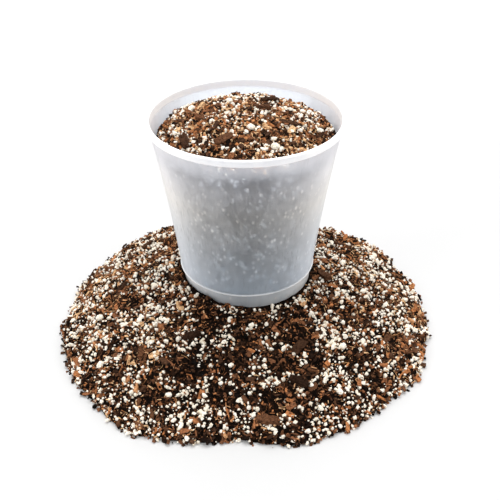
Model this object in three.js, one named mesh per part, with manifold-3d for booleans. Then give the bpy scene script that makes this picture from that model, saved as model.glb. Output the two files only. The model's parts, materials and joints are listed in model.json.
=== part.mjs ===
// A frosted plastic plant pot, heaped with potting compost and standing in a round mound of the same mix.
// Lengths are in millimetres and +Z is up. The origin is on the ground below the pot's centre line,
// and the front of the mound faces -Y.
import * as THREE from "three";
import Module from "manifold-3d";
import { mergeVertices } from "three/addons/utils/BufferGeometryUtils.js";

// The pot: one moulding with a banded rim, a tapered wall, a raised floor and a foot ring.
const POT_HEIGHT = 98;
const RIM_RADIUS = 52.5;
const RIM_HEIGHT = 3.4;
const RIM_OVERHANG = 1;
const RIM_ROUNDING = 0.6;
const FLOOR_RADIUS = 38;
const WALL = 1.1;
const WALL_SAG = 0.8;
const FOOT_HEIGHT = 9;
const FOOT_STEP = 0.9;
const FOOT_TAPER = 0.7;
// The raised line that marks the floor on the outside.
const FLOOR_BEAD = 0.5;
const FLOOR_THICKNESS = 1.4;
const DRAIN_HOLES = 6;
const DRAIN_RADIUS = 3.5;
const DRAIN_RING = 21;

// The compost heaped in the pot. Its rim lies below the pot's rim, and its crown rises above that.
const FILL_DROP = 11.5;
const FILL_CROWN = 15.5;
const FILL_CRUMBS = 0.95;

// The mound on the ground. The pot's foot is pressed into its top.
const MOUND_RADIUS = 106.5;
const MOUND_CENTRE = new THREE.Vector2(0, -6);
const FOOT_LEVEL = 26;
const FOOT_SINK = 2.8;
const EDGE_THICKNESS = 2.2;
const MOUND_CRUMBS = 1.7;
// How the compost is banked up against the pot, highest at the back left.
const BANK_HEIGHT = 7;
const BANK_WIDTH = 13;
const BANK_BEARING = THREE.MathUtils.degToRad(128);
// Each lobe of the mound's outline: how many there are round it, how far they stand out, and the bearing of one.
const LOBES = [
  { count: 1, height: 3.4, bearing: -109 },
  { count: 2, height: 1.1, bearing: 57 },
  { count: 3, height: 1.1, bearing: -25 },
  { count: 4, height: 0.9, bearing: -44 },
  { count: 5, height: 0.7, bearing: 18 },
  { count: 7, height: 1.5, bearing: -18 },
  { count: 9, height: 1.2, bearing: 4 },
  { count: 16, height: 0.8, bearing: 11 },
];

// The bits of the mix: half length, half width and half thickness of a middling one.
const BARK_SIZE = new THREE.Vector3(3.6, 1.8, 1.1);
const PERLITE_SIZE = new THREE.Vector3(2.3, 1.9, 1.7);
const LOOSE_BARK_SIZE = new THREE.Vector3(4.3, 2.0, 1.1);
const LOOSE_PERLITE_SIZE = new THREE.Vector3(2.6, 2.1, 1.9);
const SIZE_SPREAD = 0.22;
const BURIED = 0.35;
const PERLITE_SHARE = 0.42;
const MOUND_BITS = 104;
const FILL_BITS = 24;
const LOOSE_ON_MOUND = 38;
const LOOSE_ON_FILL = 14;

// Clearance between pieces that touch.
const SEAT_GAP = 0.3;

const POT_SEGMENTS = 60;
const WALL_LEVELS = 3;
const MOUND_RINGS = 18;
const FILL_RINGS = 8;
const GOLDEN_ANGLE = Math.PI * (3 - Math.sqrt(5));

const wasm = await Module();
wasm.setup();

const frostedPlastic = new THREE.MeshStandardMaterial({
  color: 0xdfe5ea,
  roughness: 0.38,
  transparent: true,
  opacity: 0.55,
});
const compost = new THREE.MeshStandardMaterial({ color: 0x3a2416, roughness: 0.95, flatShading: true });
const bark = new THREE.MeshStandardMaterial({ color: 0x8a4f28, roughness: 0.85, flatShading: true });
const perlite = new THREE.MeshStandardMaterial({ color: 0xf4efe2, roughness: 0.9, flatShading: true });
const MIX = [compost, bark, perlite];

// A repeatable stream of numbers from 0 to 1.
function randomFrom(seed) {
  let state = seed;
  return () => {
    state = (state + 0x6d2b79f5) | 0;
    let mixed = Math.imul(state ^ (state >>> 15), 1 | state);
    mixed = (mixed + Math.imul(mixed ^ (mixed >>> 7), 61 | mixed)) ^ mixed;
    return ((mixed ^ (mixed >>> 14)) >>> 0) / 4294967296;
  };
}

// A number from -1 to 1 within a spread, from a stream.
function spread(random) {
  return 2 * random() - 1;
}

// A geometry as a solid that can be joined and cut. Only its positions are kept.
function solidOf(geometry) {
  const bare = geometry.clone();
  bare.deleteAttribute("normal");
  bare.deleteAttribute("uv");
  const merged = mergeVertices(bare, 1e-4);
  return new wasm.Manifold(
    new wasm.Mesh({
      numProp: 3,
      vertProperties: new Float32Array(merged.attributes.position.array),
      triVerts: new Uint32Array(merged.index.array),
    }),
  );
}

// A solid as a geometry. Its faces are grouped by the material of the bit that each came from.
function geometryOf(solid, materialOf = new Map()) {
  const mesh = solid.getMesh();
  const geometry = new THREE.BufferGeometry();
  geometry.setAttribute("position", new THREE.BufferAttribute(mesh.vertProperties, 3));
  geometry.setIndex(new THREE.BufferAttribute(mesh.triVerts, 1));
  mesh.runOriginalID.forEach((id, run) => {
    const start = mesh.runIndex[run];
    const material = materialOf.get(id) ?? 0;
    const last = geometry.groups.at(-1);
    if (last && last.materialIndex === material) last.count = mesh.runIndex[run + 1] - last.start;
    else geometry.addGroup(start, mesh.runIndex[run + 1] - start, material);
  });
  geometry.computeVertexNormals();
  return geometry;
}

// A turned shape about +Z from [radius, height] points.
function turned(points, segments) {
  const profile = points.map(([radius, height]) => new THREE.Vector2(radius, height));
  return new THREE.LatheGeometry(profile, segments).rotateX(Math.PI / 2);
}

// Radius of the outside of the pot's wall, at a height above its foot.
function wallRadius(height) {
  const share = (height - FOOT_HEIGHT) / (POT_HEIGHT - FOOT_HEIGHT);
  const straight = THREE.MathUtils.lerp(FLOOR_RADIUS, RIM_RADIUS - RIM_OVERHANG, share);
  return straight - 4 * WALL_SAG * share * (1 - share);
}

// Points along the wall, moved outwards by an offset, between two heights above the foot.
function wallPoints(from, to, offset) {
  return Array.from({ length: WALL_LEVELS + 1 }, (_, level) => {
    const height = THREE.MathUtils.lerp(from, to, level / WALL_LEVELS);
    return [wallRadius(height) + offset, height];
  });
}

function potSolid() {
  const floorTop = FOOT_HEIGHT + FLOOR_THICKNESS;
  const bandBottom = POT_HEIGHT - RIM_HEIGHT;
  const footTop = FLOOR_RADIUS - FOOT_STEP;
  const footBottom = footTop - FOOT_TAPER;
  const mouth = wallRadius(POT_HEIGHT) - WALL;
  const moulding = turned(
    [
      [0, floorTop],
      [wallRadius(floorTop) - WALL - 1, floorTop],
      ...wallPoints(floorTop + 1, POT_HEIGHT - RIM_ROUNDING, -WALL),
      [mouth + RIM_ROUNDING, POT_HEIGHT],
      [RIM_RADIUS - RIM_ROUNDING, POT_HEIGHT],
      [RIM_RADIUS, POT_HEIGHT - RIM_ROUNDING],
      [RIM_RADIUS, bandBottom + RIM_ROUNDING],
      [RIM_RADIUS - RIM_ROUNDING, bandBottom],
      ...wallPoints(bandBottom, FOOT_HEIGHT + 2 * FLOOR_BEAD, 0),
      [FLOOR_RADIUS + FLOOR_BEAD, FOOT_HEIGHT + FLOOR_BEAD],
      [FLOOR_RADIUS + FLOOR_BEAD, FOOT_HEIGHT],
      [footTop, FOOT_HEIGHT - FOOT_STEP / 2],
      [footBottom, 0],
      [footBottom - WALL, 0],
      [footTop - WALL, FOOT_HEIGHT],
      [0, FOOT_HEIGHT],
    ].reverse(),
    POT_SEGMENTS,
  );
  let pot = solidOf(moulding);
  for (let hole = 0; hole < DRAIN_HOLES; hole++) {
    const bearing = (2 * Math.PI * hole) / DRAIN_HOLES;
    const drill = new THREE.CylinderGeometry(DRAIN_RADIUS, DRAIN_RADIUS, 4 * FLOOR_THICKNESS, 12)
      .rotateX(Math.PI / 2)
      .translate(DRAIN_RING * Math.cos(bearing), DRAIN_RING * Math.sin(bearing), FOOT_HEIGHT + FLOOR_THICKNESS / 2);
    pot = pot.subtract(solidOf(drill));
  }
  return pot;
}

// The space that the pot takes out of the mound, a seat gap larger all round.
function potEnvelope() {
  const foot = FLOOR_RADIUS - FOOT_STEP + SEAT_GAP;
  return solidOf(
    turned(
      [
        [0, -SEAT_GAP],
        [foot - FOOT_TAPER, -SEAT_GAP],
        [foot, FOOT_HEIGHT - FOOT_STEP / 2 - SEAT_GAP],
        [FLOOR_RADIUS + FLOOR_BEAD + SEAT_GAP, FOOT_HEIGHT - SEAT_GAP],
        [FLOOR_RADIUS + FLOOR_BEAD + SEAT_GAP, FOOT_HEIGHT + FLOOR_BEAD + SEAT_GAP],
        ...wallPoints(FOOT_HEIGHT + 2 * FLOOR_BEAD + 2 * SEAT_GAP, POT_HEIGHT, SEAT_GAP),
        [0, POT_HEIGHT],
      ],
      POT_SEGMENTS,
    ),
  );
}

// The space inside the pot, a seat gap smaller all round, carried up past the crown of the compost.
function potCavity() {
  const floorTop = FOOT_HEIGHT + FLOOR_THICKNESS + SEAT_GAP;
  const above = POT_HEIGHT + FILL_CROWN + 10;
  return solidOf(
    turned(
      [
        [0, floorTop],
        [wallRadius(floorTop) - WALL - SEAT_GAP - 1, floorTop],
        ...wallPoints(floorTop + 1, POT_HEIGHT, -WALL - SEAT_GAP),
        [wallRadius(POT_HEIGHT) - WALL - SEAT_GAP, above],
        [0, above],
      ],
      POT_SEGMENTS,
    ),
  );
}

// A heap: a crumbly top, an upright skirt, and a flat base. It goes out to radiusAt(bearing) from its centre,
// and its top is at heightAt(x, y). Each ring of points holds six more than the one inside it.
function heap({ centre, radiusAt, heightAt, base, rings, crumbs, seed }) {
  const random = randomFrom(seed);
  const points = [centre.x, centre.y, heightAt(centre.x, centre.y)];
  for (let ring = 1; ring <= rings; ring++) {
    const stray = ring < rings ? 0.32 : 0.12;
    for (let step = 0; step < 6 * ring; step++) {
      const bearing = (2 * Math.PI * (step + stray * spread(random))) / (6 * ring);
      const reach = radiusAt(bearing) * ((ring + stray * spread(random)) / rings);
      const x = centre.x + reach * Math.cos(bearing);
      const y = centre.y + reach * Math.sin(bearing);
      points.push(x, y, heightAt(x, y) + crumbs * (ring < rings ? spread(random) : 0));
    }
  }
  const pointAt = (ring, step) => (ring ? 1 + 3 * ring * (ring - 1) + (step % (6 * ring)) : 0);
  const faces = [];
  for (let ring = 1; ring <= rings; ring++) {
    for (let step = 0; step < 6 * ring; step++) {
      const inner = step - Math.floor(step / ring);
      faces.push(pointAt(ring - 1, inner), pointAt(ring, step), pointAt(ring, step + 1));
      if ((step + 1) % ring) {
        faces.push(pointAt(ring - 1, inner), pointAt(ring, step + 1), pointAt(ring - 1, inner + 1));
      }
    }
  }
  const foot = points.length / 3;
  const around = 6 * rings;
  for (let step = 0; step < around; step++) {
    const top = pointAt(rings, step);
    const nextTop = pointAt(rings, step + 1);
    const next = (step + 1) % around;
    points.push(points[3 * top], points[3 * top + 1], base);
    faces.push(top, foot + step, foot + next);
    faces.push(top, foot + next, nextTop);
    faces.push(foot + around, foot + next, foot + step);
  }
  points.push(centre.x, centre.y, base);
  const geometry = new THREE.BufferGeometry();
  geometry.setAttribute("position", new THREE.Float32BufferAttribute(points, 3));
  return geometry.setIndex(faces);
}

function moundOutline(bearing) {
  return LOBES.reduce(
    (reach, lobe) =>
      reach + lobe.height * Math.cos(lobe.count * (bearing - THREE.MathUtils.degToRad(lobe.bearing))),
    MOUND_RADIUS,
  );
}

// How far from the mound's centre, at a bearing, a bit stands off from the pot by a distance.
function reachFromPot(bearing, distance) {
  const offset = MOUND_CENTRE.x * Math.cos(bearing) + MOUND_CENTRE.y * Math.sin(bearing);
  const clear = FLOOR_RADIUS + distance;
  return Math.sqrt(offset ** 2 + clear ** 2 - MOUND_CENTRE.lengthSq()) - offset;
}

function moundHeight(x, y) {
  const fromCentre = new THREE.Vector2(x, y).sub(MOUND_CENTRE);
  const share = Math.min(1, fromCentre.length() / moundOutline(fromCentre.angle()));
  const dome = (FOOT_LEVEL + FOOT_SINK - EDGE_THICKNESS) * (1 - share ** 2) ** 0.85;
  const bearing = Math.atan2(y, x);
  const pastPot = Math.max(0, Math.hypot(x, y) - FLOOR_RADIUS);
  const bank = BANK_HEIGHT * (0.5 + 0.5 * Math.cos(bearing - BANK_BEARING)) * Math.exp(-pastPot / BANK_WIDTH);
  const lumps = 0.9 * Math.sin(x / 9 + 1.3) * Math.cos(y / 11 - 0.4) * (1 - share ** 4);
  return EDGE_THICKNESS + dome + bank + lumps;
}

// Height of the top of the compost in the pot, above the pot's foot.
function fillHeight(x, y) {
  const share = Math.min(1, Math.hypot(x, y) / wallRadius(POT_HEIGHT - FILL_DROP));
  const lumps = 0.5 * Math.sin(x / 6 + 0.7) * Math.cos(y / 7);
  return POT_HEIGHT - FILL_DROP + FILL_CROWN * (1 - share ** 2) + lumps * (1 - share ** 4);
}

// A chip of bark: a flat splinter with narrow, slightly bent ends.
function barkChip(size, seed) {
  const random = randomFrom(seed);
  const chip = mergeVertices(bareGeometry(new THREE.BoxGeometry(2, 2, 2, 2, 1, 1)), 1e-3);
  const bend = 0.35 * spread(random);
  const narrow = 0.45 + 0.3 * random();
  const position = chip.attributes.position;
  for (let index = 0; index < position.count; index++) {
    const end = Math.abs(position.getX(index));
    position.setXYZ(
      index,
      position.getX(index) * size.x * (1 + 0.12 * spread(random)),
      position.getY(index) * size.y * (end ? narrow : 1) * (1 + 0.2 * spread(random)),
      (position.getZ(index) * (1 + 0.18 * spread(random)) - bend * end) * size.z,
    );
  }
  return chip;
}

// A grain of perlite: a rounded pebble with a lumpy surface.
function perliteGrain(size, seed) {
  const random = randomFrom(seed);
  const grain = mergeVertices(bareGeometry(new THREE.IcosahedronGeometry(1)), 1e-3);
  const position = grain.attributes.position;
  for (let index = 0; index < position.count; index++) {
    const swell = 1 + 0.14 * spread(random);
    position.setXYZ(
      index,
      position.getX(index) * size.x * swell,
      position.getY(index) * size.y * swell,
      position.getZ(index) * size.z * swell,
    );
  }
  return grain;
}

function bareGeometry(geometry) {
  geometry.deleteAttribute("normal");
  geometry.deleteAttribute("uv");
  return geometry;
}

// Where a bit comes to rest when it is dropped on a surface at x, y: its centre, and how it lies.
function restingPlace(surface, x, y, thickness, random) {
  const above = new THREE.Vector3(x, y, 1000);
  const down = new THREE.Vector3(0, 0, -1);
  const [hit] = new THREE.Raycaster(above, down).intersectObject(surface);
  const normal = hit.face.normal.clone().add(new THREE.Vector3(0, 0, 0.6)).normalize();
  const tilt = new THREE.Quaternion().setFromUnitVectors(new THREE.Vector3(0, 0, 1), normal);
  const spin = new THREE.Quaternion().setFromAxisAngle(new THREE.Vector3(0, 0, 1), Math.PI * random());
  return {
    position: hit.point.clone().addScaledVector(normal, (1 - 2 * BURIED) * thickness),
    quaternion: tilt.multiply(spin),
  };
}

// Bits spread evenly over a ring-shaped patch, as the seeds lie in a sunflower, each turned and sized at random.
function scatter({ count, centre, innerAt, outerAt, surface, barkSize, perliteSize, seed }) {
  const random = randomFrom(seed);
  return Array.from({ length: count }, (_, index) => {
    const bearing = index * GOLDEN_ANGLE + 0.12 * spread(random);
    const inner = innerAt(bearing);
    const outer = outerAt(bearing);
    const share = (index + 0.5 + 0.3 * spread(random)) / count;
    const reach = Math.sqrt(THREE.MathUtils.lerp(inner ** 2, outer ** 2, share));
    const kind = random() < PERLITE_SHARE ? "perlite" : "bark";
    const middling = kind === "perlite" ? perliteSize : barkSize;
    const size = middling.clone().multiplyScalar(1 + SIZE_SPREAD * spread(random));
    const x = centre.x + reach * Math.cos(bearing);
    const y = centre.y + reach * Math.sin(bearing);
    return { kind, size, seed: seed + 17 * index, ...restingPlace(surface, x, y, size.z, random) };
  });
}

// The shape of a bit in its own frame, grown all round by a clearance.
function bitShape(bit, clearance = 0) {
  const size = bit.size.clone().addScalar(clearance);
  return bit.kind === "perlite" ? perliteGrain(size, bit.seed) : barkChip(size, bit.seed);
}

function bitSolid(bit, clearance = 0) {
  const place = new THREE.Matrix4().compose(bit.position, bit.quaternion, new THREE.Vector3(1, 1, 1));
  return solidOf(bitShape(bit, clearance).applyMatrix4(place));
}

// A heap with bits fused into its top, sockets for the loose bits, and its share of the mix's materials.
// A sliver that the cuts leave on its own is dropped.
function compostMesh(name, body, bits, loose, cut) {
  const materialOf = new Map();
  const fused = bits
    .filter((bit) =>
      loose.every((other) => bit.position.distanceTo(other.position) > bit.size.x + other.size.x + SEAT_GAP),
    )
    .sort((a, b) => a.kind.localeCompare(b.kind))
    .map((bit) => {
      const solid = bitSolid(bit);
      materialOf.set(solid.originalID(), bit.kind === "bark" ? 1 : 2);
      return solid;
    });
  const sockets = loose.map((bit) => bitSolid(bit, SEAT_GAP));
  const whole = cut(wasm.Manifold.union([body, ...fused])).subtract(wasm.Manifold.union(sockets));
  const [kept] = whole.decompose().sort((a, b) => b.volume() - a.volume());
  const mesh = new THREE.Mesh(geometryOf(kept, materialOf), MIX);
  mesh.name = name;
  return mesh;
}

// The loose bits, each a piece of its own, numbered from the middle outwards.
function looseMeshes(prefix, loose) {
  const counts = { bark: 0, perlite: 0 };
  return loose.map((bit) => {
    counts[bit.kind] += 1;
    const number = String(counts[bit.kind]).padStart(2, "0");
    const word = bit.kind === "bark" ? "bark_chip" : "perlite_grain";
    const geometry = bitShape(bit);
    geometry.computeVertexNormals();
    const mesh = new THREE.Mesh(geometry, bit.kind === "bark" ? bark : perlite);
    mesh.name = `${prefix}_${word}_${number}`;
    mesh.position.copy(bit.position);
    mesh.quaternion.copy(bit.quaternion);
    return mesh;
  });
}

function buildMound() {
  const surface = new THREE.Mesh(
    heap({
      centre: MOUND_CENTRE,
      radiusAt: moundOutline,
      heightAt: moundHeight,
      base: 0,
      rings: MOUND_RINGS,
      crumbs: MOUND_CRUMBS,
      seed: 11,
    }),
    compost,
  );
  const around = { centre: MOUND_CENTRE, surface };
  const loose = scatter({
    ...around,
    count: LOOSE_ON_MOUND,
    innerAt: (bearing) => reachFromPot(bearing, 1.5 * LOOSE_BARK_SIZE.x + SEAT_GAP),
    outerAt: (bearing) => 0.93 * moundOutline(bearing),
    barkSize: LOOSE_BARK_SIZE,
    perliteSize: LOOSE_PERLITE_SIZE,
    seed: 301,
  });
  const bits = scatter({
    ...around,
    count: MOUND_BITS,
    innerAt: (bearing) => reachFromPot(bearing, PERLITE_SIZE.x),
    outerAt: (bearing) => 0.99 * moundOutline(bearing),
    barkSize: BARK_SIZE,
    perliteSize: PERLITE_SIZE,
    seed: 71,
  });
  const envelope = potEnvelope().translate([0, 0, FOOT_LEVEL]);
  const below = solidOf(
    new THREE.BoxGeometry(4 * MOUND_RADIUS, 4 * MOUND_RADIUS, MOUND_RADIUS).translate(0, 0, -MOUND_RADIUS / 2),
  );
  const mound = compostMesh("mound", solidOf(surface.geometry), bits, loose, (solid) =>
    solid.subtract(envelope).subtract(below),
  );
  return [mound, ...looseMeshes("mound", loose)];
}

function buildFill() {
  const centre = new THREE.Vector2(0, 0);
  const edge = wallRadius(POT_HEIGHT - FILL_DROP) - WALL - SEAT_GAP;
  const surface = new THREE.Mesh(
    heap({
      centre,
      radiusAt: () => edge,
      heightAt: fillHeight,
      base: FOOT_HEIGHT,
      rings: FILL_RINGS,
      crumbs: FILL_CRUMBS,
      seed: 23,
    }),
    compost,
  );
  const inPot = { centre, surface };
  const loose = scatter({
    ...inPot,
    count: LOOSE_ON_FILL,
    innerAt: () => LOOSE_BARK_SIZE.x,
    outerAt: () => edge - 2 * LOOSE_BARK_SIZE.x,
    barkSize: LOOSE_BARK_SIZE,
    perliteSize: LOOSE_PERLITE_SIZE,
    seed: 907,
  });
  const bits = scatter({
    ...inPot,
    count: FILL_BITS,
    innerAt: () => 0,
    outerAt: () => edge - BARK_SIZE.x,
    barkSize: BARK_SIZE,
    perliteSize: PERLITE_SIZE,
    seed: 503,
  });
  const fill = compostMesh("pot_fill", solidOf(surface.geometry), bits, loose, (solid) =>
    solid.intersect(potCavity()),
  );
  return [fill, ...looseMeshes("fill", loose)];
}

function buildPot() {
  const pot = new THREE.Mesh(geometryOf(potSolid()), frostedPlastic);
  pot.name = "pot";
  const stand = new THREE.Group();
  stand.position.z = FOOT_LEVEL;
  return stand.add(pot, ...buildFill());
}

const pottedCompost = new THREE.Group();
pottedCompost.add(...buildMound(), buildPot());

export default pottedCompost;
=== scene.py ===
"""Looks of a frosted plant pot heaped with bark and perlite compost, on a mound of the same mix."""

import json
from math import cos, pi, radians, sin

import bpy
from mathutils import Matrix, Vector

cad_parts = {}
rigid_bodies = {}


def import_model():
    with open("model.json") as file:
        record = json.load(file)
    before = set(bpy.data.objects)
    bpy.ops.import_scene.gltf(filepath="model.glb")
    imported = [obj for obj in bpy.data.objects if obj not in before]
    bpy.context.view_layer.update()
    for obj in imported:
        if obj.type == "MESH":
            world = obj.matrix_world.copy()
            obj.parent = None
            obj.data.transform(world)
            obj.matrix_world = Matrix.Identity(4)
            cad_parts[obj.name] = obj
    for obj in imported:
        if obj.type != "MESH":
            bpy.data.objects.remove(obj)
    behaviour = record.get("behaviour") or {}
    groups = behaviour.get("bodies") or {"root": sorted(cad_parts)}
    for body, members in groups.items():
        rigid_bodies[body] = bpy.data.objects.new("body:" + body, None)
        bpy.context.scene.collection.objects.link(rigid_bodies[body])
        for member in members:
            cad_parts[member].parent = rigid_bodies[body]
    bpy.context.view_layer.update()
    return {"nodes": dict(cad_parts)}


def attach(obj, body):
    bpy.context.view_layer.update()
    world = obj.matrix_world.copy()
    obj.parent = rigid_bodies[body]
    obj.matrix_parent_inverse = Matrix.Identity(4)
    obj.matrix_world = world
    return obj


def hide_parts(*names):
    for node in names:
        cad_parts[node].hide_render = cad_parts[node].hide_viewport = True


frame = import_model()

MM = 0.001

# The pot, in millimetres from the ground, as its solid is.
FOOT_LEVEL = 26.0
POT_HEIGHT = 98.0
RIM_RADIUS = 52.5
RIM_HEIGHT = 3.4
RIM_OVERHANG = 1.0
RIM_ROUNDING = 0.5
FLOOR_RADIUS = 38.0
WALL = 1.1
WALL_SAG = 0.8
FOOT_HEIGHT = 9.0
FOOT_STEP = 0.9
FOOT_TAPER = 0.7
FOOT_ROUNDING = 0.2
FLOOR_THICKNESS = 1.4
FLOOR_BEAD = 0.5
FILL_DROP = 11.5
DRAIN_HOLES = 6
DRAIN_RADIUS = 3.5
DRAIN_RING = 21.0
DRILL_DEPTH = 6.0
LATHE_STEPS = 144
SMOOTH_ANGLE = 38.0

# How far the wall's drawn points stop short of the rim, inside it and under its band, in millimetres.
SHORT_OF_MOUTH = 1.2
SHORT_OF_BAND = 0.6

# Radius of the flat middle of the pot's floor, in millimetres.
FLOOR_FLAT = 30.0

# The view that the fitted camera gives: place in millimetres, and how far it looks down.
CAMERA_PLACE = (1.78, -386.4, 295.8)
CAMERA_DOWN = 0.585
CAMERA_ROLL = -0.007
CAMERA_LENS = 57.6

# The studio: the table's width in metres, the grey that lights the object and the grey that is seen, the
# sky's strength, and the height in millimetres that the lamps face.
TABLE_WIDTH = 12.0
TABLE_GREY = 0.7
SEEN_GREY = 0.565
SKY_STRENGTH = 0.5
LAMP_AIM = 60.0


def select_only(piece):
    """Leave one piece selected and active."""
    for other in bpy.context.view_layer.objects:
        other.select_set(False)
    piece.select_set(True)
    bpy.context.view_layer.objects.active = piece


def apply_modifiers(piece):
    """Apply every modifier of a piece, first to last."""
    select_only(piece)
    for modifier in list(piece.modifiers):
        bpy.ops.object.modifier_apply(modifier=modifier.name)


def newest(name):
    """Name the piece that an operator has just added."""
    piece = bpy.context.view_layer.objects.active
    piece.name = name
    piece.data.name = name
    return piece


def settle(piece):
    """Put a piece's place, turn and size into its mesh."""
    select_only(piece)
    bpy.ops.object.transform_apply(location=True, rotation=True, scale=True)


def copy_of(node, name):
    """A copy of a solid's mesh as one joined surface, ready to be worked on."""
    piece = node.copy()
    piece.data = node.data.copy()
    piece.parent = None
    piece.matrix_world = node.matrix_world
    piece.name = name
    piece.data.name = name
    bpy.context.scene.collection.objects.link(piece)
    for key in list(piece.keys()):
        del piece[key]
    piece.data.materials.clear()
    select_only(piece)
    bpy.ops.object.mode_set(mode="EDIT")
    bpy.ops.mesh.select_all(action="SELECT")
    bpy.ops.mesh.remove_doubles(threshold=0.01 * MM)
    bpy.ops.object.mode_set(mode="OBJECT")
    return piece


def give(piece, material, slot, *nodes):
    """Dress a piece, fix it to the part, and let it stand for solids."""
    piece.data.materials.clear()
    piece.data.materials.append(material)
    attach(piece, "root")
    if nodes:
        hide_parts(*nodes)


def number(tree, operation, first, second=0.0):
    """The result of some arithmetic on two values or sockets of a node tree."""
    node = tree.nodes.new("ShaderNodeMath")
    node.operation = operation
    for socket, value in zip(node.inputs, (first, second)):
        if isinstance(value, bpy.types.NodeSocket):
            tree.links.new(value, socket)
        else:
            socket.default_value = value
    return node.outputs[0]


# Materials.


class Paint:
    """A material under construction, with short ways to add and link its nodes."""

    def __init__(self, name):
        self.material = bpy.data.materials.new(name)
        self.material.use_nodes = True
        self.tree = self.material.node_tree
        self.shader = self.tree.nodes["Principled BSDF"]
        self.output = self.tree.nodes["Material Output"]
        self.place = self.add("ShaderNodeTexCoord").outputs["Object"]

    def add(self, kind, **settings):
        """A new node with some settings of its own."""
        node = self.tree.nodes.new(kind)
        for name, value in settings.items():
            setattr(node, name, value)
        return node

    def link(self, source, target):
        """Join an output to an input."""
        self.tree.links.new(source, target)

    def feed(self, socket, value):
        """Give a socket another socket, a colour or a number."""
        if isinstance(value, bpy.types.NodeSocket):
            self.link(value, socket)
        elif isinstance(value, tuple):
            socket.default_value = (*value, 1.0)
        else:
            socket.default_value = value

    def scaled(self, x, y, z):
        """The place on the piece, stretched along each axis."""
        node = self.add("ShaderNodeMapping")
        node.inputs["Scale"].default_value = (x, y, z)
        self.link(self.place, node.inputs["Vector"])
        return node.outputs["Vector"]

    def noise(self, scale, detail=4.0, roughness=0.6, source=None):
        """A cloudy value, with about as many clouds to the metre as the scale says."""
        node = self.add("ShaderNodeTexNoise")
        node.inputs["Scale"].default_value = scale
        node.inputs["Detail"].default_value = detail
        node.inputs["Roughness"].default_value = roughness
        self.link(source or self.place, node.inputs["Vector"])
        return node.outputs["Fac"]

    def cells(self, scale, source=None):
        """A field of cells, each with a colour of its own and the distance from its middle."""
        node = self.add("ShaderNodeTexVoronoi")
        node.inputs["Scale"].default_value = scale
        self.link(source or self.place, node.inputs["Vector"])
        return node

    def height(self):
        """How high the place on the piece is."""
        node = self.add("ShaderNodeSeparateXYZ")
        self.link(self.place, node.inputs[0])
        return node.outputs["Z"]

    def ramp(self, source, *stops, smooth=False):
        """A run of colours or greys, each given with the value at which it stands."""
        node = self.add("ShaderNodeValToRGB")
        node.color_ramp.interpolation = "EASE" if smooth else "LINEAR"
        elements = node.color_ramp.elements
        while len(elements) < len(stops):
            elements.new(0.5)
        for element, (position, colour) in zip(elements, stops):
            element.position = position
            element.color = (*colour, 1.0) if isinstance(colour, tuple) else (colour, colour, colour, 1.0)
        self.link(source, node.inputs["Fac"])
        return node.outputs["Color"]

    def blend(self, factor, first, second, mode="MIX"):
        """One colour passing into another, or another way of mixing the two."""
        node = self.add("ShaderNodeMix", data_type="RGBA", blend_type=mode)
        for socket, value in zip((node.inputs[0], node.inputs[6], node.inputs[7]), (factor, first, second)):
            self.feed(socket, value)
        return node.outputs[2]

    def layered(self, factor, first, second):
        """One shader passing into another."""
        node = self.add("ShaderNodeMixShader")
        for socket, source in zip(node.inputs, (factor, first, second)):
            self.link(source, socket)
        return node.outputs[0]

    def math(self, operation, first, second):
        """The result of some arithmetic on two values."""
        return number(self.tree, operation, first, second)

    def less(self, first, second):
        """The first value less the second."""
        return number(self.tree, "SUBTRACT", first, second)

    def product(self, first, *others):
        """All the values multiplied."""
        for other in others:
            first = number(self.tree, "MULTIPLY", first, other)
        return first

    def total(self, first, *others):
        """All the values added up."""
        for other in others:
            first = number(self.tree, "ADD", first, other)
        return first

    def attribute(self, name):
        """A value that the mesh itself carries."""
        return self.add("ShaderNodeAttribute", attribute_name=name).outputs["Fac"]

    def bump(self, height, strength, distance):
        """Let a value show as relief on the plain shader."""
        node = self.add("ShaderNodeBump")
        node.inputs["Strength"].default_value = strength
        node.inputs["Distance"].default_value = distance
        self.link(height, node.inputs["Height"])
        self.link(node.outputs["Normal"], self.shader.inputs["Normal"])
        return node.outputs["Normal"]

    def surface(self, colour, roughness, gloss):
        """Give the plain shader its colour, and say how rough and how glossy it is."""
        self.feed(self.shader.inputs["Base Color"], colour)
        self.shader.inputs["Roughness"].default_value = roughness
        self.shader.inputs["Specular IOR Level"].default_value = gloss


def clamped(value):
    """Keep the result of some arithmetic between nought and one."""
    value.node.use_clamp = True
    return value


def srgb(red, green, blue):
    """A colour given as it looks on a screen, 0 to 255, in the shader's linear values."""
    linear = []
    for value in (red, green, blue):
        linear.append(((value / 255 + 0.055) / 1.055) ** 2.4 if value > 10 else value / 3295)
    return tuple(linear)


def soil_and_gap_shade_material():
    """Damp dark crumbs between the bits, down to near black: partly the crumbs' own colour, partly painted
    shade in the gaps between the bits.
    """
    paint = Paint("damp compost and painted gap shade")
    colour = paint.ramp(
        paint.noise(420.0, 5.0, 0.7),
        (0.30, srgb(5, 3, 2)),
        (0.52, srgb(14, 8, 5)),
        (0.68, srgb(62, 37, 22)),
        (0.82, srgb(140, 94, 60)),
    )
    paint.surface(colour, 0.95, 0.04)
    paint.bump(paint.noise(900.0, 4.0, 0.7), 0.8, 0.6 * MM)
    return paint.material


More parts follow.
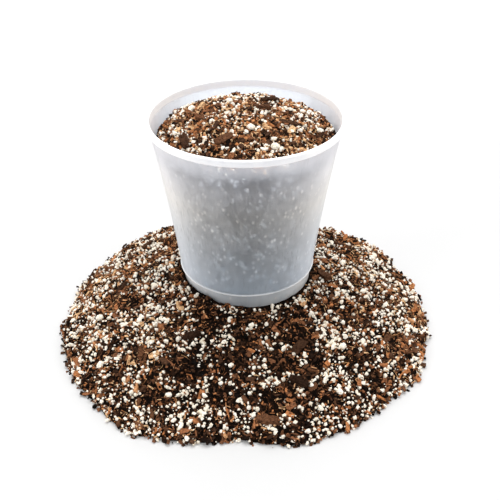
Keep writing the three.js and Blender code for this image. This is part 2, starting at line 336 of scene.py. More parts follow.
def packed_material():
    """Compost pressed against the pot's wall: dark crumbs with pale perlite among them."""
    paint = Paint("packed compost")
    soil = paint.ramp(
        paint.noise(300.0, 5.0, 0.7),
        (0.32, srgb(8, 6, 5)),
        (0.55, srgb(32, 22, 16)),
        (0.75, srgb(92, 62, 42)),
    )
    grains = paint.cells(340.0)
    pale = paint.ramp(grains.outputs["Distance"], (0.24, 1.0), (0.42, 0.0))
    chosen = paint.math("GREATER_THAN", grains.outputs["Color"], 0.56)
    side = paint.math("LESS_THAN", paint.height(), (FOOT_LEVEL + POT_HEIGHT - FILL_DROP) * MM)
    paint.surface(paint.blend(paint.product(pale, chosen, side), soil, srgb(250, 248, 244)), 0.95, 0.04)
    paint.bump(grains.outputs["Distance"], 0.5, 0.8 * MM)
    return paint.material


def bark_material():
    """Bark from near black through red brown to straw, each chip its own tone; the near-black end is partly
    painted shade between the bits.
    """
    paint = Paint("bark")
    tone = paint.ramp(
        paint.attribute("tint"),
        (0.00, srgb(7, 4, 2)),
        (0.22, srgb(23, 13, 8)),
        (0.46, srgb(84, 58, 42)),
        (0.70, srgb(142, 94, 64)),
        (0.88, srgb(186, 122, 76)),
        (1.00, srgb(222, 182, 138)),
    )
    grain = paint.noise(650.0, 4.0, 0.65, paint.scaled(1.0, 2.4, 1.6))
    shade = paint.ramp(grain, (0.32, (0.25, 0.22, 0.20)), (0.52, 0.95), (0.72, (1.5, 1.42, 1.3)))
    paint.surface(paint.blend(1.0, tone, shade, "MULTIPLY"), 0.82, 0.06)
    paint.bump(grain, 0.7, 0.5 * MM)
    return paint.material


def perlite_material():
    """Puffed white grains, creamy in the pits and stained here and there."""
    paint = Paint("perlite")
    pits = paint.noise(1100.0, 3.0, 0.6)
    clean = paint.ramp(
        pits, (0.30, srgb(212, 197, 170)), (0.48, srgb(247, 239, 225)), (0.70, srgb(254, 251, 246))
    )
    stain = paint.ramp(paint.noise(260.0, 3.0, 0.6), (0.56, 0.0), (0.74, 1.0))
    stained = paint.blend(paint.product(stain, 0.55), clean, srgb(196, 160, 112))
    tint = paint.attribute("tint")
    tone = paint.ramp(tint, (0.0, (0.72, 0.69, 0.62)), (0.35, (0.96, 0.95, 0.92)), (1.0, 1.0))
    paint.surface(paint.blend(1.0, stained, tone, "MULTIPLY"), 0.9, 0.1)
    paint.bump(pits, 0.5, 0.4 * MM)
    return paint.material


def fibre_material():
    """Coir and straw: tan to dark brown."""
    paint = Paint("fibre")
    tint = paint.attribute("tint")
    tone = paint.ramp(tint, (0.0, srgb(92, 58, 36)), (0.5, srgb(170, 114, 68)), (1.0, srgb(222, 180, 126)))
    speckle = paint.ramp(paint.noise(800.0), (0.3, (0.6, 0.58, 0.55)), (0.7, 1.1))
    paint.surface(paint.blend(1.0, tone, speckle, "MULTIPLY"), 0.8, 0.08)
    return paint.material


def pot_material():
    """Frosted polypropylene: milky, lets light through, and shows what touches it as a faint shade."""
    paint = Paint("frosted plastic")
    flow = paint.noise(26.0, 3.0, 0.55, paint.scaled(6.0, 6.0, 0.6))
    cloud = paint.noise(42.0, 3.0, 0.6)
    mottle = paint.total(paint.product(flow, 0.35), paint.product(cloud, 0.65))
    slant = paint.add("ShaderNodeLayerWeight")
    slant.inputs["Blend"].default_value = 0.42
    aslant = slant.outputs["Facing"]

    # How high on the pot, from 0 at its foot to 1 at its rim, and how thick its plastic is there.
    share = paint.math("DIVIDE", paint.less(paint.height(), FOOT_LEVEL * MM), POT_HEIGHT * MM)
    bead = FOOT_HEIGHT / POT_HEIGHT
    brim = 1.0 - RIM_HEIGHT / POT_HEIGHT
    thick = paint.ramp(
        share,
        (bead - 0.004, 0.14),
        (bead, 0.75),
        (bead + 0.007, 0.75),
        (bead + 0.012, 0.0),
        (brim - 0.012, 0.0),
        (brim, 0.86),
    )
    packed = paint.ramp(share, (0.79, 1.0), (0.90, 0.0))

    # Pale marks where perlite leans on the wall, and fine dark streaks of damp fibres.
    specks = paint.cells(450.0, paint.scaled(1.0, 1.0, 0.7))
    near = paint.ramp(specks.outputs["Distance"], (0.10, 1.0), (0.54, 0.0), smooth=True)
    some = paint.ramp(specks.outputs["Color"], (0.56, 0.0), (0.74, 1.0))
    strokes = paint.noise(760.0, 2.0, 0.5, paint.scaled(1.0, 1.0, 0.14))
    thin = paint.ramp(strokes, (0.54, 0.0), (0.66, 1.0))
    damp = paint.ramp(cloud, (0.46, 0.0), (0.60, 1.0))
    speck = paint.product(near, some, packed, paint.less(1.0, paint.product(damp, 0.8)))
    low = paint.ramp(share, (0.12, 0.1), (0.38, 0.7), (0.62, 0.4), (0.80, 0.1))
    streak = paint.product(thin, damp, low)

    # The milky body throws light back from its skin, and lets some glow through. The skin's tint goes
    # bluish low down and warm higher up: a painted reflection of the surroundings.
    skin_and_painted_reflection = paint.ramp(
        share,
        (0.07, srgb(240, 241, 242)),
        (0.11, srgb(231, 238, 248)),
        (0.38, srgb(236, 239, 243)),
        (0.62, srgb(252, 248, 243)),
        (0.86, srgb(249, 247, 250)),
    )
    rim_white = srgb(255, 254, 254)
    veil = paint.add("ShaderNodeBsdfDiffuse")
    paint.link(paint.blend(thick, skin_and_painted_reflection, rim_white), veil.inputs["Color"])
    cool = paint.ramp(
        share,
        (0.10, srgb(230, 244, 255)),
        (0.42, srgb(228, 235, 243)),
        (0.65, srgb(228, 232, 237)),
        (0.88, srgb(241, 245, 253)),
    )
    glow = paint.add("ShaderNodeBsdfTranslucent")
    paint.link(cool, glow.inputs["Color"])

    # Light that goes through the wall aslant has more plastic to cross, so more of it comes back.
    body = paint.ramp(aslant, (0.10, 0.0), (0.39, 0.50), (0.66, 1.0))
    fine = paint.less(paint.noise(800.0, 3.0, 0.65, paint.scaled(1.0, 1.0, 0.2)), 0.5)
    uneven = paint.total(paint.product(paint.less(mottle, 0.5), 0.34), paint.product(fine, 0.6))
    milky = clamped(paint.total(body, uneven, paint.product(speck, 0.38), paint.product(thick, 0.75)))
    milk = paint.layered(milky, glow.outputs[0], veil.outputs[0])

    # What lies behind the wall shows faintly, most where the wall is thin, straight ahead or damp.
    clear = paint.add("ShaderNodeBsdfTransparent")
    paint.feed(clear.inputs["Color"], (0.96, 0.97, 0.98))
    opening = paint.ramp(mottle, (0.3, 0.39), (0.7, 0.23))
    empty = paint.product(paint.less(1.0, packed), 0.22)
    straight = paint.less(1.2, paint.product(aslant, 0.7))
    seen = paint.product(paint.total(opening, empty), straight)
    wet = paint.total(seen, paint.product(low, 0.2, straight), paint.product(streak, 0.42, straight))
    bare = paint.less(1.0, paint.math("MAXIMUM", thick, paint.product(speck, 0.35)))
    sheer = paint.layered(clamped(paint.product(wet, bare)), milk, clear.outputs[0])

    gloss = paint.add("ShaderNodeBsdfAnisotropic")
    gloss.inputs["Roughness"].default_value = 0.36
    edge = paint.add("ShaderNodeFresnel")
    edge.inputs["IOR"].default_value = 1.49
    paint.link(paint.bump(flow, 0.12, 0.3 * MM), gloss.inputs["Normal"])
    polished = paint.layered(paint.product(edge.outputs[0], 0.4), sheer, gloss.outputs[0])
    paint.link(polished, paint.output.inputs["Surface"])
    paint.tree.nodes.remove(paint.shader)
    return paint.material


# The pot.


def wall_radius(height):
    """Radius of the pot's outside at a height above its foot, in millimetres."""
    share = (height - FOOT_HEIGHT) / (POT_HEIGHT - FOOT_HEIGHT)
    straight = FLOOR_RADIUS + (RIM_RADIUS - RIM_OVERHANG - FLOOR_RADIUS) * share
    return straight - 4 * WALL_SAG * share * (1 - share)


def wall_points(start, end, offset, steps=12):
    """Points down or up the wall, between two heights."""
    heights = [start + (end - start) * step / steps for step in range(steps + 1)]
    return [(wall_radius(height) + offset, height) for height in heights]


def rounded(corners, radius, steps=3):
    """A run of profile corners, each eased by a small arc."""
    points = []
    for before, corner, after in zip(corners, corners[1:], corners[2:]):
        into = (Vector(corner) - Vector(before)).normalized()
        out = (Vector(after) - Vector(corner)).normalized()
        start = Vector(corner) - into * radius
        end = Vector(corner) + out * radius
        for step in range(steps + 1):
            share = step / steps
            bent = start.lerp(Vector(corner), share).lerp(Vector(corner).lerp(end, share), share)
            points.append(tuple(bent))
    return points


def lathe(name, profile):
    """Draw a profile of [radius, height] points with extrudes, and spin it round the pot's centre line."""
    bpy.ops.object.select_all(action="DESELECT")
    start_radius, start_height = profile[0]
    bpy.ops.mesh.primitive_plane_add(size=MM, location=(start_radius * MM, 0.0, start_height * MM))
    piece = newest(name)
    settle(piece)
    bpy.ops.object.mode_set(mode="EDIT")
    bpy.ops.mesh.select_all(action="SELECT")
    bpy.ops.mesh.merge(type="CENTER")
    for (radius, height), (next_radius, next_height) in zip(profile, profile[1:]):
        step = ((next_radius - radius) * MM, 0.0, (next_height - height) * MM)
        bpy.ops.mesh.extrude_region_move(TRANSFORM_OT_translate={"value": step})
    bpy.ops.mesh.select_all(action="SELECT")
    bpy.ops.mesh.spin(steps=LATHE_STEPS, angle=2 * pi, center=(0.0, 0.0, 0.0), axis=(0.0, 0.0, 1.0))
    bpy.ops.mesh.select_all(action="SELECT")
    bpy.ops.mesh.remove_doubles(threshold=0.02 * MM)
    bpy.ops.mesh.normals_make_consistent(inside=False)
    bpy.ops.object.mode_set(mode="OBJECT")
    return piece


def drill_hole(pot, bearing):
    """Cut one drain hole through the pot's floor."""
    ring = DRAIN_RING * MM
    place = (ring * cos(bearing), ring * sin(bearing), (FOOT_LEVEL + FOOT_HEIGHT) * MM)
    bpy.ops.object.select_all(action="DESELECT")
    bpy.ops.mesh.primitive_cylinder_add(
        vertices=24, radius=DRAIN_RADIUS * MM, depth=DRILL_DEPTH * MM, location=place
    )
    drill = newest("drain_drill")
    cut = pot.modifiers.new("drain hole", "BOOLEAN")
    cut.object = drill
    cut.solver = "EXACT"
    apply_modifiers(pot)
    bpy.data.objects.remove(drill)


def build_pot(material):
    """The pot, its rim band rounded over, with drain holes cut through its floor."""
    floor_top = FOOT_HEIGHT + FLOOR_THICKNESS
    band_bottom = POT_HEIGHT - RIM_HEIGHT
    foot_top = FLOOR_RADIUS - FOOT_STEP
    mouth = wall_radius(POT_HEIGHT) - WALL
    inside = wall_points(floor_top, POT_HEIGHT - SHORT_OF_MOUTH, -WALL)
    outside = wall_points(band_bottom - SHORT_OF_BAND, FOOT_HEIGHT + 2 * FLOOR_BEAD, 0.0)
    rim = rounded(
        [
            inside[-1],
            (mouth, POT_HEIGHT),
            (RIM_RADIUS, POT_HEIGHT),
            (RIM_RADIUS, band_bottom),
            (wall_radius(band_bottom), band_bottom),
            outside[0],
        ],
        RIM_ROUNDING,
    )
    foot = rounded(
        [
            outside[-1],
            (FLOOR_RADIUS + FLOOR_BEAD, FOOT_HEIGHT + FLOOR_BEAD),
            (FLOOR_RADIUS + FLOOR_BEAD, FOOT_HEIGHT),
            (foot_top, FOOT_HEIGHT - FOOT_STEP),
            (foot_top - FOOT_TAPER, 0.0),
            (foot_top - FOOT_TAPER - WALL, 0.0),
            (foot_top - WALL, FOOT_HEIGHT),
            (0.0, FOOT_HEIGHT),
        ],
        FOOT_ROUNDING,
        2,
    )
    floor = [(0.0, floor_top), (FLOOR_FLAT, floor_top)]
    profile = [*floor, *inside, *rim, *outside, *foot, (0.0, FOOT_HEIGHT)]
    lifted = [(max(radius, 0.0), height + FOOT_LEVEL) for radius, height in profile]
    pot = lathe("pot_moulding", lifted)
    for hole in range(DRAIN_HOLES):
        drill_hole(pot, 2 * pi * hole / DRAIN_HOLES)
    select_only(pot)
    bpy.ops.object.shade_smooth_by_angle(angle=radians(SMOOTH_ANGLE))
    give(pot, material, "frosted_plastic", "pot")


# The mix: the surfaces that it lies on, and patterns for its bits.

# Length of each kind of pattern, and width and thickness of each pattern of the kind, in millimetres.
CHIP_LENGTH = 2.0
CHIP_SIZES = (
    (0.9, 0.30), (0.5, 0.26), (1.2, 0.34), (0.7, 0.5), (0.36, 0.28), (1.4, 0.24), (0.8, 0.62), (0.55, 0.4)
)
SPLINTER_LENGTH = 2.5
SPLINTER_SIZES = ((0.42, 0.3), (0.6, 0.24), (0.3, 0.3), (0.5, 0.4))
CRUMB_SIZE = 0.8
FIBRE_LENGTH = 10.0
FIBRE_RADIUS = 0.16

# Where a chip is cut across, how much narrower its ends are, and how its ends turn up from chip to chip.
CHIP_CUTS = (-0.35, 0.3)
CHIP_TAPER = 0.38
CHIP_TURN_UP = 0.10
CHIP_TURN_STEP = 0.03

# How far each fibre is bent, in degrees, and into how many straight lengths it is cut for that.
FIBRE_BENDS = (50, 95, -70, 140)
FIBRE_LENGTHS = 7


def roughen(piece, name, size, strength):
    """Push a surface in and out along a cloudy field."""
    field = bpy.data.textures.new(name, "CLOUDS")
    field.noise_scale = size
    field.noise_depth = 2
    bump = piece.modifiers.new(name, "DISPLACE")
    bump.texture = field
    bump.texture_coords = "LOCAL"
    bump.strength = strength
    bump.mid_level = 0.5


def heap_surface(node, name, voxel):
    """The surface that the bits lie on: a solid's own shape, remeshed finely and made crumbly."""
    piece = copy_of(node, name)
    weave = piece.modifiers.new("fine mesh", "REMESH")
    weave.mode = "VOXEL"
    weave.voxel_size = voxel * MM
    roughen(piece, name + " crumbs", 2.6 * MM, 1.1 * MM)
    apply_modifiers(piece)
    return piece


def grain_templates(material):
    """A few puffed perlite grains, each of one millimetre radius."""
    grains = []
    for index in range(6):
        bpy.ops.object.select_all(action="DESELECT")
        bpy.ops.mesh.primitive_ico_sphere_add(subdivisions=2, radius=MM)
        grain = newest(f"perlite_pattern_{index}")
        stretch = (1.0 + 0.12 * index, 0.92 - 0.1 * (index % 3), 0.7 + 0.06 * (index % 3))
        bpy.ops.object.mode_set(mode="EDIT")
        bpy.ops.mesh.select_all(action="SELECT")
        bpy.ops.transform.resize(value=stretch)
        bpy.ops.transform.vertex_random(offset=0.42 * MM, seed=index + 3)
        bpy.ops.object.mode_set(mode="OBJECT")
        thin = grain.modifiers.new("fewer faces", "DECIMATE")
        thin.ratio = 0.38
        apply_modifiers(grain)
        grain.data.materials.append(material)
        grains.append(grain)
    return grains


def broken_box(name, material, size, stretch, shake, seed, cuts=()):
    """A box stretched along each axis, cut across, and shaken until it looks broken off."""
    bpy.ops.object.select_all(action="DESELECT")
    bpy.ops.mesh.primitive_cube_add(size=size)
    box = newest(name)
    bpy.ops.object.mode_set(mode="EDIT")
    bpy.ops.mesh.select_all(action="SELECT")
    bpy.ops.transform.resize(value=stretch)
    for cut in cuts:
        bpy.ops.mesh.select_all(action="SELECT")
        bpy.ops.mesh.bisect(plane_co=(cut * MM, 0.0, 0.0), plane_no=(1.0, 0.25 * cut, 0.0))
    bpy.ops.mesh.select_all(action="SELECT")
    bpy.ops.transform.vertex_random(offset=shake, seed=seed)
    bpy.ops.object.mode_set(mode="OBJECT")
    box.data.materials.append(material)
    return box


def chip_templates(material):
    """Splinters and flakes of bark, about two millimetres long, with broken ends."""
    chips = []
    for index, sizes in enumerate(CHIP_SIZES):
        name = f"bark_pattern_{index}"
        chip = broken_box(name, material, MM, (CHIP_LENGTH, *sizes), 0.2 * MM, index + 11, CHIP_CUTS)
        for corner in chip.data.vertices:
            end = abs(corner.co.x) / MM
            corner.co.y *= 1.0 - CHIP_TAPER * end
            corner.co.z += (CHIP_TURN_UP - CHIP_TURN_STEP * index) * MM * end
        chips.append(chip)
    return chips


def crumb_templates(material):
    """Small angular crumbs about one millimetre across."""
    crumbs = []
    for index in range(5):
        name = f"crumb_pattern_{index}"
        stretch = (1.0 + 0.2 * index, 0.95, 0.75)
        crumbs.append(broken_box(name, material, CRUMB_SIZE * MM, stretch, 0.2 * MM, index + 29))
    return crumbs


def splinter_templates(material):
    """Thin slivers of shredded bark, about two and a half millimetres long."""
    splinters = []
    for index, sizes in enumerate(SPLINTER_SIZES):
        name = f"splinter_pattern_{index}"
        stretch = (SPLINTER_LENGTH, *sizes)
        splinters.append(broken_box(name, material, MM, stretch, 0.26 * MM, index + 41))
    return splinters


def fibre_templates(material):
    """Bent strands about ten millimetres long."""
    strands = []
    for index, bend in enumerate(FIBRE_BENDS):
        bpy.ops.object.select_all(action="DESELECT")
        bpy.ops.mesh.primitive_cylinder_add(
            vertices=4,
            radius=FIBRE_RADIUS * MM,
            depth=FIBRE_LENGTH * MM,
            end_fill_type="NOTHING",
            rotation=(0.0, pi / 2, 0.0),
        )
        strand = newest(f"fibre_pattern_{index}")
        settle(strand)
        bpy.ops.object.mode_set(mode="EDIT")
        bpy.ops.mesh.select_all(action="SELECT")
        bpy.ops.mesh.edge_face_add()
        for cut in range(1, FIBRE_LENGTHS):
            across = (cut / FIBRE_LENGTHS - 0.5) * FIBRE_LENGTH * MM
            bpy.ops.mesh.select_all(action="SELECT")
            bpy.ops.mesh.bisect(plane_co=(across, 0.0, 0.0), plane_no=(1.0, 0.0, 0.0))
        bpy.ops.object.mode_set(mode="OBJECT")
        curl = strand.modifiers.new("curl", "SIMPLE_DEFORM")
        curl.deform_method = "BEND"
        curl.deform_axis = "Z"
        curl.angle = radians(bend)
        apply_modifiers(strand)
        strand.data.materials.append(material)
        strands.append(strand)
    return strands


# The mix: its bits strewn over the surfaces.

# Scale of the soft patches in which bits are lighter or darker, and the usual share of points that is kept.
TONE_PATCHES = 28.0
MEAN_SHARE = 0.65

# What holds for every kind of bit that doesn't say otherwise.
USUAL = {
    "facing": (0.15, 1.1),
    "tint": (0.0, 1.0),
    "toned": 0.9,
    "few_large": 1.6,
    "patch": 40.0,
    "patchy": 0.0,
}


def random_value(tree, kind, low, high, seed):
    """A random field, for points or instances, between two values."""
    node = tree.nodes.new("FunctionNodeRandomValue")
    node.data_type = kind
    sockets = [socket for socket in node.inputs if socket.enabled]
    sockets[0].default_value = low
    sockets[1].default_value = high
    node.inputs["Seed"].default_value = seed
    return next(socket for socket in node.outputs if socket.enabled)


def axes_of(tree, kind):
    """The axes of each point's place or normal."""
    split = tree.nodes.new("ShaderNodeSeparateXYZ")
    tree.links.new(tree.nodes.new(kind).outputs[0], split.inputs[0])
    return split.outputs


def swing(tree, noise, strength):
    """A noise turned into a value that swings evenly round nought."""
    return number(tree, "MULTIPLY", number(tree, "SUBTRACT", noise.outputs[0], 0.5), strength)


def away_from(tree, spot, reach, values):
    """A value that goes evenly from the first to the second as a bit lies farther from a spot."""
    away = tree.nodes.new("ShaderNodeVectorMath")
    away.operation = "DISTANCE"
    tree.links.new(tree.nodes.new("GeometryNodeInputPosition").outputs[0], away.inputs[0])
    away.inputs[1].default_value = [value * MM for value in spot]
    fade = tree.nodes.new("ShaderNodeMapRange")
    tree.links.new(away.outputs["Value"], fade.inputs["Value"])
    fade.inputs["From Min"].default_value = reach[0] * MM
    fade.inputs["From Max"].default_value = reach[1] * MM
    fade.inputs["To Min"].default_value = values[0]
    fade.inputs["To Max"].default_value = values[1]
    return fade.outputs[0]


def tone_and_painted_shadow(tree, spec):
    """How much lighter or darker the bits get in soft patches, and by a painted shadow of the pot on the
    mound's front, which leaves bits farther off a little lighter.
    """
    tones = tree.nodes.new("ShaderNodeTexNoise")
    tones.inputs["Scale"].default_value = TONE_PATCHES
    tones.inputs["Detail"].default_value = 2.0
    tone = swing(tree, tones, spec["toned"])
    # Painted shadow of the pot: darker near the spot, a little lighter far off.
    if "painted_shadow" in spec:
        tone = number(tree, "ADD", tone, away_from(tree, *spec["painted_shadow"]))
    return tone


def chosen_places(tree, spec):
    """One on the part of a surface that spec picks by its reach, slope and height, and nought elsewhere."""
    place = axes_of(tree, "GeometryNodeInputPosition")
    facing = axes_of(tree, "GeometryNodeInputNormal")
    across = number(tree, "MULTIPLY", place["X"], place["X"])
    along = number(tree, "MULTIPLY", place["Y"], place["Y"])
    reach = number(tree, "SQRT", number(tree, "ADD", across, along))
    least, most = spec["facing"]
    lowest, highest = spec["level"]
    picked = number(tree, "GREATER_THAN", reach, spec["inner"] * MM)
    for operation, measure, limit in (
        ("LESS_THAN", reach, spec["outer"] * MM),
        ("LESS_THAN", facing["Z"], most),
        ("GREATER_THAN", facing["Z"], least),
        ("GREATER_THAN", place["Z"], lowest * MM),
        ("LESS_THAN", place["Z"], highest * MM),
    ):
        picked = number(tree, "MULTIPLY", picked, number(tree, operation, measure, limit))
    return picked


def density_by_place(tree, spec):
    """The share of points that is kept: uneven in soft patches, and less round a bare spot."""
    patches = tree.nodes.new("ShaderNodeTexNoise")
    patches.noise_dimensions = "4D"
    patches.inputs["Scale"].default_value = spec["patch"]
    patches.inputs["Detail"].default_value = 2.0
    patches.inputs["W"].default_value = spec["seed"]
    uneven = swing(tree, patches, spec["patchy"])
    if "bare_spot" in spec:
        uneven = number(tree, "ADD", uneven, away_from(tree, *spec["bare_spot"]))
    return clamped(number(tree, "ADD", uneven, MEAN_SHARE))


def scatter(emitter, name, patterns, slot, *kinds, **own):
    """Strew copies of some patterns over a surface as one mesh of real bits, as the kinds and own say."""
    spec = dict(USUAL)
    for kind in (*kinds, own):
        spec.update(kind)
    piece = emitter.copy()
    piece.data = emitter.data.copy()
    piece.name = name
    piece.data.name = name
    bpy.context.scene.collection.objects.link(piece)
    store = bpy.data.collections.new(name + " patterns")
    for pattern in patterns:
        store.objects.link(pattern)

    tree = bpy.data.node_groups.new(name, "GeometryNodeTree")
    for way in ("INPUT", "OUTPUT"):
        tree.interface.new_socket(name="Geometry", in_out=way, socket_type="NodeSocketGeometry")
    link = tree.links.new
    source = tree.nodes.new("NodeGroupInput")
    result = tree.nodes.new("NodeGroupOutput")
    seed = spec["seed"]

    strew = tree.nodes.new("GeometryNodeDistributePointsOnFaces")
    strew.distribute_method = "POISSON"
    strew.inputs["Distance Min"].default_value = spec["apart"] * MM
    strew.inputs["Density Max"].default_value = spec["dense"] / MM**2
    strew.inputs["Seed"].default_value = seed
    link(source.outputs[0], strew.inputs["Mesh"])
    link(chosen_places(tree, spec), strew.inputs["Selection"])
    link(density_by_place(tree, spec), strew.inputs["Density Factor"])

    least, most = spec["lift"]
    push = tree.nodes.new("ShaderNodeVectorMath")
    push.operation = "SCALE"
    link(strew.outputs["Normal"], push.inputs[0])
    link(random_value(tree, "FLOAT", least * MM, most * MM, seed + 1), push.inputs["Scale"])
    lift = tree.nodes.new("GeometryNodeSetPosition")
    link(strew.outputs["Points"], lift.inputs["Geometry"])
    link(push.outputs[0], lift.inputs["Offset"])

    gather = tree.nodes.new("GeometryNodeCollectionInfo")
    gather.inputs["Collection"].default_value = store
    gather.inputs["Separate Children"].default_value = True
    gather.inputs["Reset Children"].default_value = True
    lay = tree.nodes.new("GeometryNodeInstanceOnPoints")
    lay.inputs["Pick Instance"].default_value = True
    link(lift.outputs[0], lay.inputs["Points"])
    link(gather.outputs[0], lay.inputs["Instance"])
    link(random_value(tree, "INT", 0, len(patterns) - 1, seed + 2), lay.inputs["Instance Index"])

    tilt = spec["tilt"]
    lean = random_value(tree, "FLOAT_VECTOR", (-tilt, -tilt, 0.0), (tilt, tilt, 2 * pi), seed + 3)
    leaning = tree.nodes.new("FunctionNodeEulerToRotation")
    link(lean, leaning.inputs[0])
    turn = tree.nodes.new("FunctionNodeRotateRotation")
    turn.rotation_space = "LOCAL"
    link(strew.outputs["Rotation"], turn.inputs[0])
    link(leaning.outputs[0], turn.inputs[1])
    link(turn.outputs[0], lay.inputs["Rotation"])

    smallest, largest = spec["size"]
    even = random_value(tree, "FLOAT", 0.0, 1.0, seed + 4)
    curved = number(tree, "POWER", even, spec["few_large"])
    size = number(tree, "ADD", number(tree, "MULTIPLY", curved, largest - smallest), smallest)
    link(size, lay.inputs["Scale"])

    colour = tree.nodes.new("GeometryNodeStoreNamedAttribute")
    colour.data_type = "FLOAT"
    colour.domain = "INSTANCE"
    colour.inputs["Name"].default_value = "tint"
    link(lay.outputs[0], colour.inputs["Geometry"])
    value = next(socket for socket in colour.inputs if socket.enabled and socket.name == "Value")
    # Each bit's tint: a random tone, with the soft patches and the painted shadow of the pot added.
    darkest, palest = spec["tint"]
    tint = random_value(tree, "FLOAT", darkest, palest, seed + 5)
    link(number(tree, "ADD", tint, tone_and_painted_shadow(tree, spec)), value)
    solid = tree.nodes.new("GeometryNodeRealizeInstances")
    link(colour.outputs[0], solid.inputs[0])
    link(solid.outputs[0], result.inputs[0])

    weave = piece.modifiers.new("strewn bits", "NODES")
    weave.node_group = tree
    apply_modifiers(piece)
    bpy.data.collections.remove(store)
    give(piece, patterns[0].data.materials[0], slot)


# Least and greatest tint of a loose bit, and the step, as a share of the span, from one bit to the next.
LOOSE_TINTS = (0.26, 0.62)
TINT_STEP = 0.618


def loose_bits(materials):
    """Each loose chip and grain, from its own solid, with a broken or puffed surface."""
    for name, node in sorted(frame["nodes"].items()):
        kind = "bark" if "bark_chip" in name else "perlite" if "perlite_grain" in name else None
        if kind is None:
            continue
        piece = copy_of(node, name.replace("chip", "piece").replace("grain", "pebble"))
        rounder = piece.modifiers.new("rounder", "SUBSURF")
        rounder.subdivision_type = "SIMPLE" if kind == "bark" else "CATMULL_CLARK"
        rounder.levels = 3
        rounder.render_levels = 3
        if kind == "bark":
            roughen(piece, name + " lumps", 2.4 * MM, 1.8 * MM)
            roughen(piece, name + " splits", 1.2 * MM, 1.2 * MM)
            roughen(piece, name + " grit", 0.6 * MM, 0.7 * MM)
        else:
            roughen(piece, name + " puffs", 1.3 * MM, 0.9 * MM)
        apply_modifiers(piece)
        tint = piece.data.attributes.new("tint", "FLOAT", "POINT")
        darkest, palest = LOOSE_TINTS
        value = darkest + (palest - darkest) * ((int(name[-2:]) * TINT_STEP) % 1.0)
        tint.data.foreach_set("value", [value] * len(piece.data.vertices))
        give(piece, materials[kind], kind, name)


# Light, floor and camera.


def white_seen(tree):
    """One where a ray comes from the camera, from gloss or through the plastic, and nought elsewhere."""
    path = tree.nodes.new("ShaderNodeLightPath")
    gloss = number(tree, "MAXIMUM", path.outputs["Is Camera Ray"], path.outputs["Is Glossy Ray"])
    return number(tree, "MAXIMUM", gloss, path.outputs["Is Transmission Ray"])


def white_floor():
    """A white table that keeps the heap's soft shadow, and gets brighter by itself away from it."""
    bpy.ops.object.select_all(action="DESELECT")
    bpy.ops.mesh.primitive_plane_add(size=TABLE_WIDTH, location=(0.0, 0.0, 0.0))
    floor = newest("studio_floor")
    paint = Paint("white table")
    paint.surface((TABLE_GREY, TABLE_GREY, TABLE_GREY), 1.0, 0.0)
    shown = paint.add("ShaderNodeBsdfDiffuse")
    paint.feed(shown.inputs["Color"], (SEEN_GREY, SEEN_GREY, SEEN_GREY))
    away = paint.add("ShaderNodeVectorMath", operation="LENGTH")
    paint.link(paint.place, away.inputs[0])
    glow = paint.add("ShaderNodeEmission")
    paint.link(paint.ramp(away.outputs["Value"], (0.30, 0.08), (1.0, 1.0)), glow.inputs["Strength"])
    both = paint.add("ShaderNodeAddShader")
    paint.link(shown.outputs[0], both.inputs[0])
    paint.link(glow.outputs[0], both.inputs[1])
    choice = paint.layered(white_seen(paint.tree), paint.shader.outputs[0], both.outputs[0])
    paint.link(choice, paint.output.inputs["Surface"])
    floor.data.materials.append(paint.material)


def white_world():
    """A sky that lights the object evenly, and is seen as plain white."""
    world = bpy.data.worlds.new("studio")
    bpy.context.scene.world = world
    world.use_nodes = True
    tree = world.node_tree
    sky = tree.nodes["Background"]
    sky.inputs["Strength"].default_value = SKY_STRENGTH
    shown = tree.nodes.new("ShaderNodeBackground")
    for background in (sky, shown):
        background.inputs["Color"].default_value = (1.0, 1.0, 1.0, 1.0)
    mix = tree.nodes.new("ShaderNodeMixShader")
    for socket, source in zip(mix.inputs, (white_seen(tree), sky.outputs[0], shown.outputs[0])):
        tree.links.new(source, socket)
    tree.links.new(mix.outputs[0], tree.nodes["World Output"].inputs["Surface"])


def softbox(name, place, size, watts):
    """A square soft lamp that faces the middle of the pot."""
    bpy.ops.object.light_add(type="AREA", location=[value * MM for value in place])
    lamp = newest(name)
    lamp.data.size = size * MM
    lamp.data.energy = watts
    aim = Vector((0.0, 0.0, LAMP_AIM * MM)) - lamp.location
    lamp.rotation_euler = aim.to_track_quat("-Z", "Y").to_euler()


def set_camera():
    """The camera at the place that was fitted to the photo."""
    bpy.ops.object.camera_add(location=[value * MM for value in CAMERA_PLACE])
    camera = newest("camera")
    camera.rotation_mode = "ZYX"
    camera.rotation_euler = (pi / 2 - CAMERA_DOWN, 0.0, CAMERA_ROLL)
    camera.data.sensor_width = 36.0
    camera.data.lens = CAMERA_LENS
    camera.data.clip_start = 0.01
    bpy.context.scene.camera = camera


# Everything in its place.

soil = soil_and_gap_shade_material()
packed = packed_material()
bark = bark_material()
perlite = perlite_material()
fibre = fibre_material()
frosted = pot_material()

build_pot(frosted)

mound = heap_surface(frame["nodes"]["mound"], "mound_soil", 1.5)
fill = heap_surface(frame["nodes"]["pot_fill"], "fill_soil", 1.2)

grains = grain_templates(perlite)
chips = chip_templates(bark)
crumbs = crumb_templates(bark)
splinters = splinter_templates(bark)
strands = fibre_templates(fibre)

# Spots on the mound: where each is, the distances between which it fades, and its value near and far.
# The first spot is a painted shadow of the pot: bits near it get darker, bits far off a little lighter.
PAINTED_SHADOW_SPOT = ((10.0, -64.0, 16.0), (26.0, 88.0), (-0.14, 0.09))
BARE_SPOT = ((-20.0, -56.0, 18.0), (14.0, 44.0), (-0.50, 0.0))

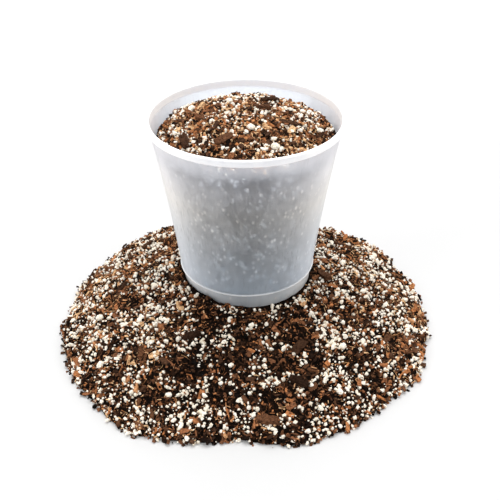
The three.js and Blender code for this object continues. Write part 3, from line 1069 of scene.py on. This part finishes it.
# Where bits lie: how far out from the centre line, how high, and how steep the surface may be.
ON_MOUND = {
    "inner": 38.4,
    "outer": 125.0,
    "level": (0.4, 60.0),
    "facing": (-0.3, 1.1),
    "painted_shadow": PAINTED_SHADOW_SPOT,
    "toned": 0.65,
}
ON_FILL = {"inner": -1.0, "outer": 44.6, "level": (110.0, 140.0)}
ROUND_EDGE = {"inner": 80.0, "outer": 125.0, "level": (0.1, 1.4), "facing": (-0.6, 0.6)}

# How bits lie: tilt in radians, how few are large, and their tints.
CRUMBS = {"tilt": 3.1}
SHREDS = {"tilt": 0.7, "tint": (0.30, 1.08)}
CHIPS = {"tilt": 0.6, "patchy": 1.5}
FIBRES = {"tilt": 0.3}
PERLITE = {"tilt": 3.1, "few_large": 1.7, "patch": 70.0, "tint": (0.2, 1.0), "toned": 0.2}

scatter(mound, "mound_crumbs", crumbs, "compost", ON_MOUND, CRUMBS, seed=5, apart=0.95, dense=1.2,
        lift=(-1.2, 0.0), size=(0.8, 2.4), few_large=2.0, tint=(0.05, 0.78))
scatter(mound, "mound_shreds", splinters, "compost", ON_MOUND, SHREDS, seed=8, apart=1.0, dense=1.0,
        lift=(-0.6, 0.4), size=(0.45, 1.5))
scatter(mound, "mound_bark", chips, "bark", ON_MOUND, CHIPS, inner=40.0, level=(2.5, 60.0), seed=15,
        apart=1.8, dense=0.34, lift=(-0.9, 0.4), size=(0.8, 3.0), few_large=2.6, tint=(0.15, 1.0))
scatter(mound, "mound_perlite", grains, "perlite", ON_MOUND, PERLITE, inner=38.8, seed=25, apart=1.3,
        dense=0.38, lift=(-0.4, 0.5), size=(0.34, 1.5), patchy=6.0, bare_spot=BARE_SPOT)
scatter(mound, "mound_fibres", strands, "bark", ON_MOUND, FIBRES, inner=42.0, level=(5.0, 60.0), seed=35,
        apart=3.6, dense=0.05, lift=(-0.5, 0.5), size=(0.3, 0.9))
scatter(mound, "edge_crumbs", crumbs, "compost", ROUND_EDGE, CRUMBS, seed=105, apart=0.9, dense=1.4,
        lift=(-0.4, 2.2), size=(0.8, 3.2), few_large=1.8, tint=(0.05, 0.8))
scatter(mound, "edge_bark", chips, "bark", ROUND_EDGE, level=(1.0, 4.0), facing=(0.0, 0.75), seed=125,
        apart=2.2, dense=0.3, lift=(0.2, 2.0), tilt=1.0, size=(0.9, 2.4), few_large=1.4, tint=(0.05, 0.85))
scatter(mound, "edge_perlite", grains, "perlite", ROUND_EDGE, PERLITE, seed=115, apart=1.6, dense=0.9,
        lift=(-0.4, 2.4), size=(0.3, 1.3), patchy=2.0)
scatter(fill, "fill_crumbs", crumbs, "compost", ON_FILL, CRUMBS, outer=46.6, seed=45, apart=0.85, dense=1.8,
        lift=(-0.8, 0.3), size=(0.8, 2.1), few_large=1.7, tint=(0.04, 1.06))
scatter(fill, "fill_shreds", splinters, "compost", ON_FILL, SHREDS, seed=135, apart=0.9, dense=1.4,
        lift=(-0.4, 0.4), size=(0.45, 1.4), few_large=1.5)
scatter(fill, "fill_bark", chips, "bark", ON_FILL, CHIPS, seed=55, apart=1.5, dense=0.55, lift=(-0.7, 0.6),
        size=(0.8, 3.0), few_large=2.3, tint=(0.2, 1.05))
scatter(fill, "fill_perlite", grains, "perlite", ON_FILL, PERLITE, outer=45.6, seed=65, apart=1.3,
        dense=0.46, lift=(-0.4, 0.5), size=(0.36, 1.5), patchy=5.0)
scatter(fill, "fill_rim_grains", grains, "perlite", ON_FILL, PERLITE, inner=45.0, outer=47.2, seed=95,
        apart=1.2, dense=0.5, lift=(-0.6, 0.1), size=(0.3, 0.7))
scatter(fill, "fill_fibres", strands, "bark", ON_FILL, FIBRES, outer=42.0, seed=75, apart=3.0, dense=0.06,
        lift=(-0.3, 0.5), size=(0.3, 1.0))

# The mound's own surface under the bits, its near-black partly painted shade in the gaps.
give(mound, soil, "compost", "mound")
give(fill, packed, "compost", "pot_fill")
loose_bits({"bark": bark, "perlite": perlite})
for pattern in (*grains, *chips, *crumbs, *splinters, *strands):
    bpy.data.objects.remove(pattern)

white_floor()
white_world()
softbox("top_softbox", (50, 200, 1440), 1300, 23.0)
softbox("back_softbox", (100, 1100, 520), 700, 4.0)
softbox("left_softbox", (-640, -360, 420), 500, 2.5)
softbox("right_softbox", (640, -360, 420), 500, 1.8)
set_camera()
bpy.context.scene.view_settings.view_transform = "Standard"
